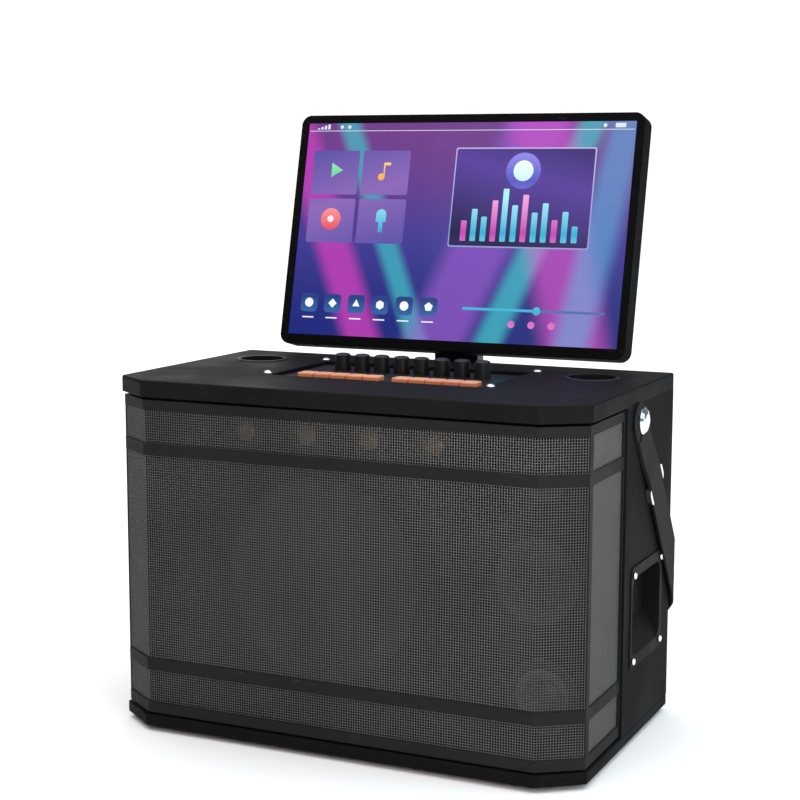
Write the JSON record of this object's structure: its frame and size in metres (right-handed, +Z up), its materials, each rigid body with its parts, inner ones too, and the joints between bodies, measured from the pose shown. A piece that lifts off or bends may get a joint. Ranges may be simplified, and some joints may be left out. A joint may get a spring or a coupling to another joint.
{
  "type": "portable karaoke speaker",
  "caption": "Portable karaoke speaker cabinet with a tilting touch display, mixer knobs, orange keys, two microphone wells, recessed hand grips and a webbing carry strap.",
  "frame": {"origin": "on the floor under the middle of the cabinet, at the plane of the feet's undersides", "axes": "+X to the cabinet's right as seen from the front, +Y from the front to the rear, +Z up"},
  "size_m": [0.5518, 0.3799, 0.6618],
  "materials": {
    "board_vinyl": "satin",
    "batten_wood": "matt",
    "foot_rubber": "matt",
    "grille_plastic": "satin",
    "mesh_metal": "satin",
    "panel_metal": "satin",
    "steel": "satin",
    "chrome": "polished",
    "circuit_board": "satin",
    "knob_plastic": "satin",
    "key_plastic": "satin",
    "dark_plastic": "satin",
    "bezel_gloss": "gloss",
    "screen_glass": "gloss",
    "webbing": "woven",
    "speaker_frame": "satin",
    "cone_paper": "matt",
    "dome_bright": "satin",
    "battery_wrap": "satin"
  },
  "bodies": {
    "cabinet": {"base_board": "board_vinyl", "top_board": "board_vinyl", "left_side": "board_vinyl", "right_side": "board_vinyl", "back_panel": "board_vinyl", "front_baffle": "board_vinyl", "cabinet_battens": "batten_wood", "rubber_feet": "foot_rubber", "grille_frame": "grille_plastic", "grille_trim": "grille_plastic", "grille_mesh": "mesh_metal", "control_panel": "panel_metal", "neck_bracket": "panel_metal", "control_screws": "steel", "potentiometers": "steel", "hinge_pin": "steel", "strap_studs": "chrome", "grip_screws": "chrome", "mixer_board": "circuit_board", "amplifier_board": "circuit_board", "mic_well_left": "dark_plastic", "mic_well_right": "dark_plastic", "grip_left": "dark_plastic", "grip_right": "dark_plastic", "rear_plate": "dark_plastic", "woofer_frame": "speaker_frame", "mid_frame": "speaker_frame", "low_frame": "speaker_frame", "small_driver": "speaker_frame", "woofer_cone": "cone_paper", "mid_cone": "cone_paper", "low_cone": "dome_bright", "tweeters": "dome_bright", "battery_pack": "battery_wrap"},
    "display": {"display_shell": "dark_plastic", "display_bezel": "bezel_gloss", "display_panel": "screen_glass", "display_board": "circuit_board", "display_bracket": "panel_metal"},
    "strap": {"carry_strap": "webbing", "strap_adjusters": "chrome"},
    "switch_rocker": {"power_switch": "dark_plastic"},
    "knob_body_1": {"knob_1": "knob_plastic"},
    "knob_body_2": {"knob_2": "knob_plastic"},
    "knob_body_3": {"knob_3": "knob_plastic"},
    "knob_body_4": {"knob_4": "knob_plastic"},
    "knob_body_5": {"knob_5": "knob_plastic"},
    "knob_body_6": {"knob_6": "knob_plastic"},
    "knob_body_7": {"knob_7": "knob_plastic"},
    "knob_body_8": {"knob_8": "knob_plastic"},
    "key_body_1": {"key_1": "key_plastic"},
    "key_body_2": {"key_2": "key_plastic"},
    "key_body_3": {"key_3": "key_plastic"},
    "key_body_4": {"key_4": "key_plastic"},
    "key_body_5": {"key_5": "key_plastic"},
    "key_body_6": {"key_6": "key_plastic"},
    "key_body_7": {"key_7": "key_plastic"},
    "key_body_8": {"key_8": "key_plastic"},
    "key_body_9": {"key_9": "key_plastic"},
    "key_body_10": {"key_10": "key_plastic"}
  },
  "joints": [
    {"name": "display_tilt", "type": "hinge", "parent": "cabinet", "child": "display", "pos_m": [0, 0.18044, 0.40565], "axis": [1, 0, 0], "range_deg": [-20, 10]},
    {"name": "strap_swing", "type": "hinge", "parent": "cabinet", "child": "strap", "pos_m": [0, 0.023, 0.345], "axis": [1, 0, 0], "range_deg": [0, 48]},
    {"name": "power_rocker", "type": "hinge", "parent": "cabinet", "child": "switch_rocker", "pos_m": [0.024, 0.1515, 0.241], "axis": [1, 0, 0], "range_deg": [-16, 0]},
    {"name": "knob_turn_1", "type": "hinge", "parent": "cabinet", "child": "knob_body_1", "pos_m": [-0.084, 0.0458, 0.385], "axis": [0, 0, 1], "range_deg": [-150, 150]},
    {"name": "knob_turn_2", "type": "hinge", "parent": "cabinet", "child": "knob_body_2", "pos_m": [-0.06, 0.0458, 0.385], "axis": [0, 0, 1], "range_deg": [-150, 150]},
    {"name": "knob_turn_3", "type": "hinge", "parent": "cabinet", "child": "knob_body_3", "pos_m": [-0.036, 0.0458, 0.385], "axis": [0, 0, 1], "range_deg": [-150, 150]},
    {"name": "knob_turn_4", "type": "hinge", "parent": "cabinet", "child": "knob_body_4", "pos_m": [-0.012, 0.0458, 0.385], "axis": [0, 0, 1], "range_deg": [-150, 150]},
    {"name": "knob_turn_5", "type": "hinge", "parent": "cabinet", "child": "knob_body_5", "pos_m": [0.012, 0.0458, 0.385], "axis": [0, 0, 1], "range_deg": [-150, 150]},
    {"name": "knob_turn_6", "type": "hinge", "parent": "cabinet", "child": "knob_body_6", "pos_m": [0.036, 0.0458, 0.385], "axis": [0, 0, 1], "range_deg": [-150, 150]},
    {"name": "knob_turn_7", "type": "hinge", "parent": "cabinet", "child": "knob_body_7", "pos_m": [0.06, 0.0458, 0.385], "axis": [0, 0, 1], "range_deg": [-150, 150]},
    {"name": "knob_turn_8", "type": "hinge", "parent": "cabinet", "child": "knob_body_8", "pos_m": [0.084, 0.0458, 0.385], "axis": [0, 0, 1], "range_deg": [-150, 150]},
    {"name": "key_press_1", "type": "slide", "parent": "cabinet", "child": "key_body_1", "axis": [0, 0, -1], "range_m": [0, 0.0012], "stiffness_N_per_m": 300, "springref_m": -0.0005},
    {"name": "key_press_2", "type": "slide", "parent": "cabinet", "child": "key_body_2", "axis": [0, 0, -1], "range_m": [0, 0.0012], "stiffness_N_per_m": 300, "springref_m": -0.0005},
    {"name": "key_press_3", "type": "slide", "parent": "cabinet", "child": "key_body_3", "axis": [0, 0, -1], "range_m": [0, 0.0012], "stiffness_N_per_m": 300, "springref_m": -0.0005},
    {"name": "key_press_4", "type": "slide", "parent": "cabinet", "child": "key_body_4", "axis": [0, 0, -1], "range_m": [0, 0.0012], "stiffness_N_per_m": 300, "springref_m": -0.0005},
    {"name": "key_press_5", "type": "slide", "parent": "cabinet", "child": "key_body_5", "axis": [0, 0, -1], "range_m": [0, 0.0012], "stiffness_N_per_m": 300, "springref_m": -0.0005},
    {"name": "key_press_6", "type": "slide", "parent": "cabinet", "child": "key_body_6", "axis": [0, 0, -1], "range_m": [0, 0.0012], "stiffness_N_per_m": 300, "springref_m": -0.0005},
    {"name": "key_press_7", "type": "slide", "parent": "cabinet", "child": "key_body_7", "axis": [0, 0, -1], "range_m": [0, 0.0012], "stiffness_N_per_m": 300, "springref_m": -0.0005},
    {"name": "key_press_8", "type": "slide", "parent": "cabinet", "child": "key_body_8", "axis": [0, 0, -1], "range_m": [0, 0.0012], "stiffness_N_per_m": 300, "springref_m": -0.0005},
    {"name": "key_press_9", "type": "slide", "parent": "cabinet", "child": "key_body_9", "axis": [0, 0, -1], "range_m": [0, 0.0012], "stiffness_N_per_m": 300, "springref_m": -0.0005},
    {"name": "key_press_10", "type": "slide", "parent": "cabinet", "child": "key_body_10", "axis": [0, 0, -1], "range_m": [0, 0.0012], "stiffness_N_per_m": 300, "springref_m": -0.0005}
  ]
}
